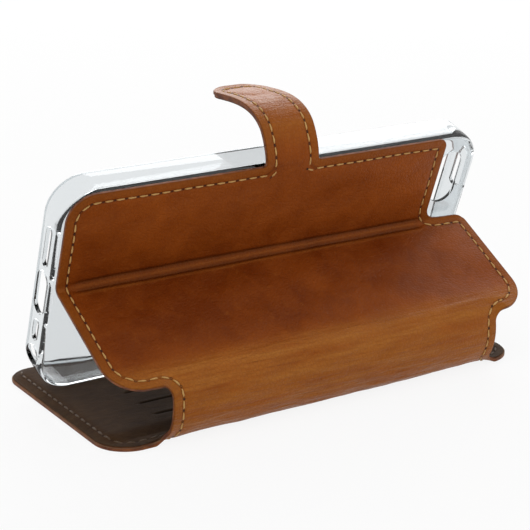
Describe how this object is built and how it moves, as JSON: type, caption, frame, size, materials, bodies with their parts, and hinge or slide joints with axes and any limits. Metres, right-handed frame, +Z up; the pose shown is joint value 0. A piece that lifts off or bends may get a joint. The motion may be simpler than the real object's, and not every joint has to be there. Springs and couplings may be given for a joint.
{
  "type": "phone wallet case",
  "caption": "Leather book case for a phone, with a clear clip-in tray, card pockets, a folding back panel that props it up as a stand, and a magnetic clasp strap.",
  "frame": {"origin": "middle of the front cover's underside, on the table", "axes": "+X along the case's length, +Y from the spine to the front cover's far edge, +Z up"},
  "size_m": [0.1264, 0.0656, 0.0753],
  "materials": {
    "leather": "smooth vintage cowhide, cognac brown, pulled-up tone and waxed sheen",
    "lining": "grey-brown split leather, suede side out",
    "board": "bonded leather board",
    "pocket_cloth": "thin woven lining cloth",
    "thread": "waxed beige-gold thread",
    "clear_plastic": "clear polycarbonate, polished",
    "glue_pad": "white double-sided foam tape",
    "steel": "plain sheet steel",
    "magnet": "nickel-plated magnet"
  },
  "bodies": {
    "front_cover": {"front_cover_leather": "leather", "front_cover_board": "board", "clasp_plate": "steel", "card_pocket_sheet_1": "pocket_cloth", "card_pocket_sheet_2": "pocket_cloth", "card_pocket_sheet_3": "pocket_cloth", "front_cover_lining": "lining", "front_cover_thread": "thread"},
    "spine_lower": {"spine_lower_leather": "leather", "spine_lower_lining": "lining", "spine_lower_thread_left": "thread", "spine_lower_thread_right": "thread"},
    "spine_upper": {"spine_upper_leather": "leather", "spine_upper_lining": "lining", "spine_upper_thread_left": "thread", "spine_upper_thread_right": "thread"},
    "kick_panel": {"kick_panel_leather": "leather", "kick_panel_board": "board", "kick_panel_lining": "lining", "kick_panel_thread_left": "thread", "kick_panel_thread_right": "thread"},
    "tray": {"upper_panel_leather": "leather", "upper_panel_board": "board", "upper_panel_lining": "lining", "glue_pad": "glue_pad", "clear_tray": "clear_plastic", "upper_panel_thread_left": "thread", "upper_panel_thread_right": "thread"},
    "strap_root": {"strap_root_leather": "leather", "strap_root_lining": "lining", "strap_root_thread_left": "thread", "strap_root_thread_right": "thread"},
    "strap_tip": {"strap_tip_leather": "leather", "strap_tip_lining": "lining", "strap_magnet": "magnet", "strap_tip_thread": "thread"}
  },
  "joints": [
    {"name": "stand_fold", "type": "hinge", "parent": "front_cover", "child": "spine_lower", "pos_m": [0, -0.02855, 0], "axis": [1, 0, 0], "range_deg": [0, 40.6]},
    {"name": "spine_bow", "type": "hinge", "parent": "spine_lower", "child": "spine_upper", "pos_m": [0, -0.03644, 0.00837], "axis": [1, 0, 0], "range_deg": [0, 72.7]},
    {"name": "cover_fold", "type": "hinge", "parent": "spine_upper", "child": "kick_panel", "pos_m": [0, -0.03299, 0.0193], "axis": [1, 0, 0], "range_deg": [0, 37.2]},
    {"name": "back_crease", "type": "hinge", "parent": "kick_panel", "child": "tray", "pos_m": [0, -0.00673, 0.034], "axis": [-1, 0, 0], "range_deg": [0, 81.4]},
    {"name": "strap_root_flex", "type": "hinge", "parent": "tray", "child": "strap_root", "pos_m": [0, -0.01639, 0.05943], "axis": [1, 0, 0], "range_deg": [-8, 65]},
    {"name": "strap_bend", "type": "hinge", "parent": "strap_root", "child": "strap_tip", "pos_m": [0, -0.01179, 0.06872], "axis": [1, 0, 0], "range_deg": [-10, 80]}
  ],
  "couplings": [
    {"joint": "spine_bow", "follows": "stand_fold", "ratio": 1.7891},
    {"joint": "cover_fold", "follows": "stand_fold", "ratio": 0.9155},
    {"joint": "back_crease", "follows": "stand_fold", "ratio": 2.0041}
  ]
}
